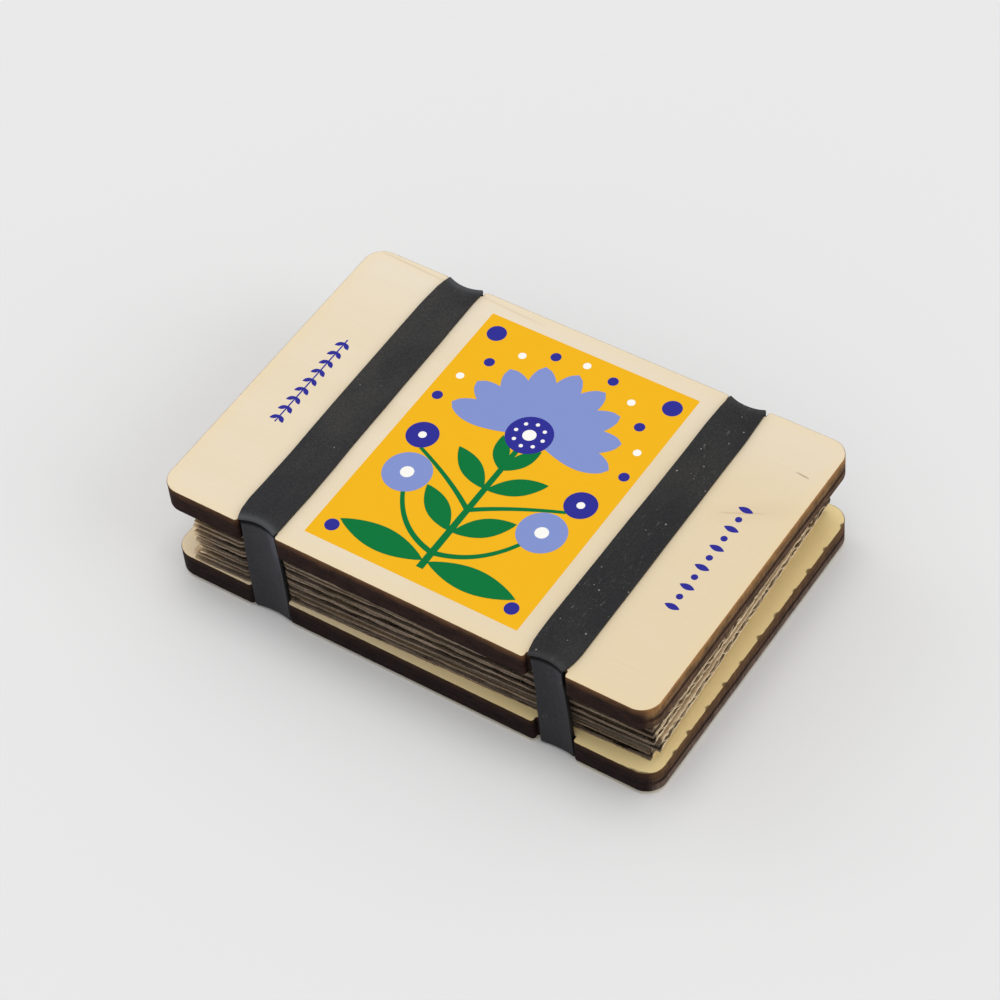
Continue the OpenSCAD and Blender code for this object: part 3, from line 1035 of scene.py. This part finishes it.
def petalShape(x, y, length, width, angle, steps=20):
    # drop with a rounded tip
    shares = [k / steps for k in range(1, steps)]
    half = [(length * t, width / 2 * sin(pi * t ** 1.6) ** 0.6) for t in shares]
    return mirrored(x, y, angle, [(0.0, 0.0)] + half + [(length, 0.0)])


def disc(x, y, radius, steps=36):
    turns = [2 * pi * k / steps for k in range(steps)]
    return [(x + radius * cos(a), y + radius * sin(a)) for a in turns]


def stem(a, b, c, wide, narrow, steps=24):
    # bent line from a by b to c
    left, right = [], []
    for k in range(steps + 1):
        t = k / steps
        x, y = [(1 - t) ** 2 * p + 2 * t * (1 - t) * q + t * t * r for p, q, r in zip(a, b, c)]
        dx, dy = [2 * (1 - t) * (q - p) + 2 * t * (r - q) for p, q, r in zip(a, b, c)]
        size = hypot(dx, dy)
        half = (wide + (narrow - wide) * t) / 2
        left.append((x - dy / size * half, y + dx / size * half))
        right.append((x + dy / size * half, y - dx / size * half))
    return left + right[::-1]


def printPiece(name, shapes, middle):
    # each shape is (level, ink, outline); higher levels lie on lower ones
    points, faces, slots, names = [], [], [], sorted({s[1] for s in shapes})
    low = levels["topFace"]
    for level, key, outline in shapes:
        first, count = len(points), len(outline)
        for z in (low + printed["step"] * level, low):
            points += [(x + middle[0], y + middle[1], z) for x, y in outline]
        after = outline[1:] + outline[:1]
        area = sum(p[0] * q[1] - q[0] * p[1] for p, q in zip(outline, after))
        cap = list(range(first, first + count))
        base = [i + count for i in cap]
        following = cap[1:] + cap[:1]
        rim = [(j, i, i + count, j + count) for i, j in zip(cap, following)]
        if area < 0:
            cap, base, rim = cap[::-1], base[::-1], [f[::-1] for f in rim]
        faces += [tuple(cap), tuple(reversed(base))] + rim
        slots += [names.index(key)] * (len(rim) + 2)
    piece = meshPiece(name, points, faces, [inks[n] for n in names], slots)
    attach(piece, "lid")


halfWide, halfHigh = printed["width"] / 2, printed["height"] / 2
ground = [(-halfWide, -halfHigh), (halfWide, -halfHigh), (halfWide, halfHigh), (-halfWide, halfHigh)]
printPiece("printGround", [(1, "ground", ground)], printed["middle"])

# a mirrored sprig: one fan-shaped head, berries on bent stalks, smooth paired leaves
headY = 9.5
sprig = [(2, "leaf", stem((0, -31.5), (0, -10), (0, 8), 1.7, 1.2))]
sprig += [(7 + k % 2, "petal", petalShape(0, headY, 19.5, 6.6, 22.5 * k)) for k in range(9)]
sprig += [(10, "berry", disc(0, headY, 5.2)), (11, "white", disc(0, headY, 1.5))]
for turn in range(0, 360, 45):
    a = radians(turn)
    sprig.append((11, "white", disc(3.3 * cos(a), headY + 3.3 * sin(a), 0.45)))
for side in (-1, 1):
    half = [
        (4 + side, "leaf", stem((0, -27), (11, -25), (16, -13), 1.3, 0.9)),
        (4 + side, "leaf", stem((0, -14), (7, -9), (18, -4.5), 1.2, 0.8)),
        (7, "petal", disc(16.6, -11.5, 5.4)), (9, "white", disc(16.6, -11.5, 1.5)),
        (8, "berry", disc(19.6, -1.4, 3.6)), (9, "white", disc(19.6, -1.4, 0.9)),
        (12 + side, "leaf", lens(0.5, -29.5, 21, 6.2, 2)),
        (12 + side, "leaf", lens(0.4, -20.5, 13.5, 5.0, 38)),
        (12 + side, "leaf", lens(0.3, -7.5, 13, 4.6, 34)),
        (6, "leaf", lens(0.3, -1.5, 9.5, 3.6, 62)),
        (3, "berry", disc(22.0, 30.6, 2.2)), (3, "berry", disc(22.0, -31.0, 1.6)),
    ]
    sprig += [(level, key, [(x * side, y) for x, y in shape]) for level, key, shape in half]
for turn in range(0, 181, 18):
    a = radians(turn)
    key, size = ("white", 0.9) if turn % 36 else ("berry", 1.2)
    sprig.append((3, key, disc(23.2 * cos(a), headY + 22.6 * sin(a), size)))
printPiece("printSprig", sprig, printed["middle"])

# small plain ornaments beside the panel
marks = dict(leftX=-49.0, rightX=49.4, leftPitch=3.0, rightPitch=2.88)
leftX, rightX = marks["leftX"], marks["rightX"]
markLeft = [(1, "berry", stem((leftX, 13.4), (leftX, 0), (leftX, -13.6), 0.35, 0.35))]
for k in range(9):
    for angle in (-42, -138):
        markLeft.append((2, "berry", lens(leftX, 12.4 - marks["leftPitch"] * k, 2.3, 1.1, angle)))
printPiece("printMarkLeft", markLeft, (0, 0))
markRight = []
for k in range(11):
    y = -14.4 + marks["rightPitch"] * k
    markRight.append((1, "berry", disc(rightX, y, 0.75) if k % 2 else lens(rightX - 1.75, y, 3.5, 1.5, 0)))
printPiece("printMarkRight", markRight, (0, 0))
print("print laid on")
